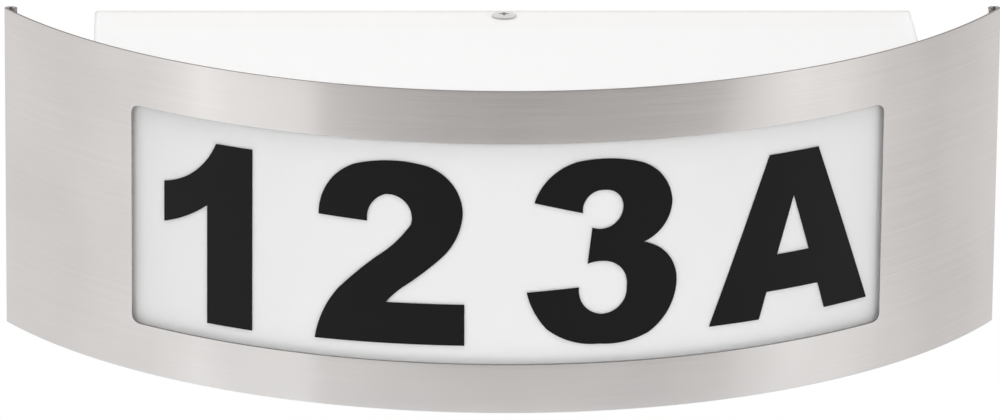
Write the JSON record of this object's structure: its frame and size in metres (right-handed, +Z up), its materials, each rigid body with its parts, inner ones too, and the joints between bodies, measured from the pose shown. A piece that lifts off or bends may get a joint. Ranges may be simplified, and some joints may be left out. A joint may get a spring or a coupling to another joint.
{
  "type": "illuminated house number sign",
  "caption": "Wall-mounted house number light: curved brushed steel panel with a window over an opal box with black stick-on characters, lamp and wiring on a moulded base tray.",
  "frame": {"origin": "middle of the base tray's back face, on the wall, midway between the two fixing slots", "axes": "+X to the right seen from the front, along the sign; +Y into the wall; +Z up"},
  "size_m": [0.36, 0.1065, 0.119],
  "materials": {
    "panel_steel": "horizontally brushed stainless sheet",
    "opal": "translucent opal, satin gloss",
    "tray_moulding": "warm white moulding",
    "seal_foam": "closed-cell foam",
    "grommet_rubber": "soft rubber",
    "black_film": "matt self-adhesive film",
    "brass": "turned brass",
    "zinc_steel": "zinc plated",
    "screw_steel": "stainless screw",
    "holder_moulding": "heat-proof moulding",
    "nickel": "nickel plated",
    "spacer_nylon": "natural nylon",
    "block_moulding": "natural polyamide",
    "brown_wire": "brown insulation",
    "blue_wire": "blue insulation",
    "earth_wire": "green and yellow insulation",
    "lamp_white": "white lamp housing",
    "lamp_opal": "opal lamp globe",
    "lamp_black": "black insulator"
  },
  "bodies": {
    "base": {"base_tray": "tray_moulding", "wall_seal": "seal_foam", "cable_grommet": "grommet_rubber", "threaded_inserts": "brass", "lamp_bracket": "zinc_steel", "bracket_screws": "zinc_steel", "earth_lug": "brass", "holder_nipple": "brass", "nipple_nut": "zinc_steel", "lampholder_body": "holder_moulding", "lampholder_screw_shell": "nickel", "lampholder_centre_contact": "brass", "terminal_block": "block_moulding", "terminal_block_screws": "zinc_steel", "terminal_tubes": "brass", "terminal_screws": "zinc_steel", "live_wire": "brown_wire", "neutral_wire": "blue_wire", "earth_wire": "earth_wire"},
    "cover": {"opal_diffuser": "opal", "front_panel": "panel_steel", "panel_studs": "zinc_steel", "panel_spacers": "spacer_nylon", "panel_nuts": "zinc_steel", "numeral_1": "black_film", "numeral_2": "black_film", "numeral_3": "black_film", "letter_a": "black_film"},
    "top_screw": {"cover_screw_top": "screw_steel"},
    "bottom_screw": {"cover_screw_bottom": "screw_steel"},
    "lamp": {"lamp_end_contact": "zinc_steel", "lamp_insulator": "lamp_black", "lamp_cap": "nickel", "lamp_housing": "lamp_white", "lamp_globe": "lamp_opal"}
  },
  "joints": [
    {"name": "cover_pull", "type": "slide", "parent": "base", "child": "cover", "axis": [0, -1, 0], "range_m": [0, 0.12]},
    {"name": "top_screw_turn", "type": "hinge", "parent": "base", "child": "top_screw", "pos_m": [0, -0.0072, 0.058], "axis": [0, 0, 1], "range_deg": [0, 720]},
    {"name": "bottom_screw_turn", "type": "hinge", "parent": "base", "child": "bottom_screw", "pos_m": [0, -0.0072, -0.058], "axis": [0, 0, -1], "range_deg": [0, 720]},
    {"name": "lamp_turn", "type": "hinge", "parent": "base", "child": "lamp", "pos_m": [-0.06, -0.044, 0], "axis": [1, 0, 0], "range_deg": [0, 1080]}
  ]
}
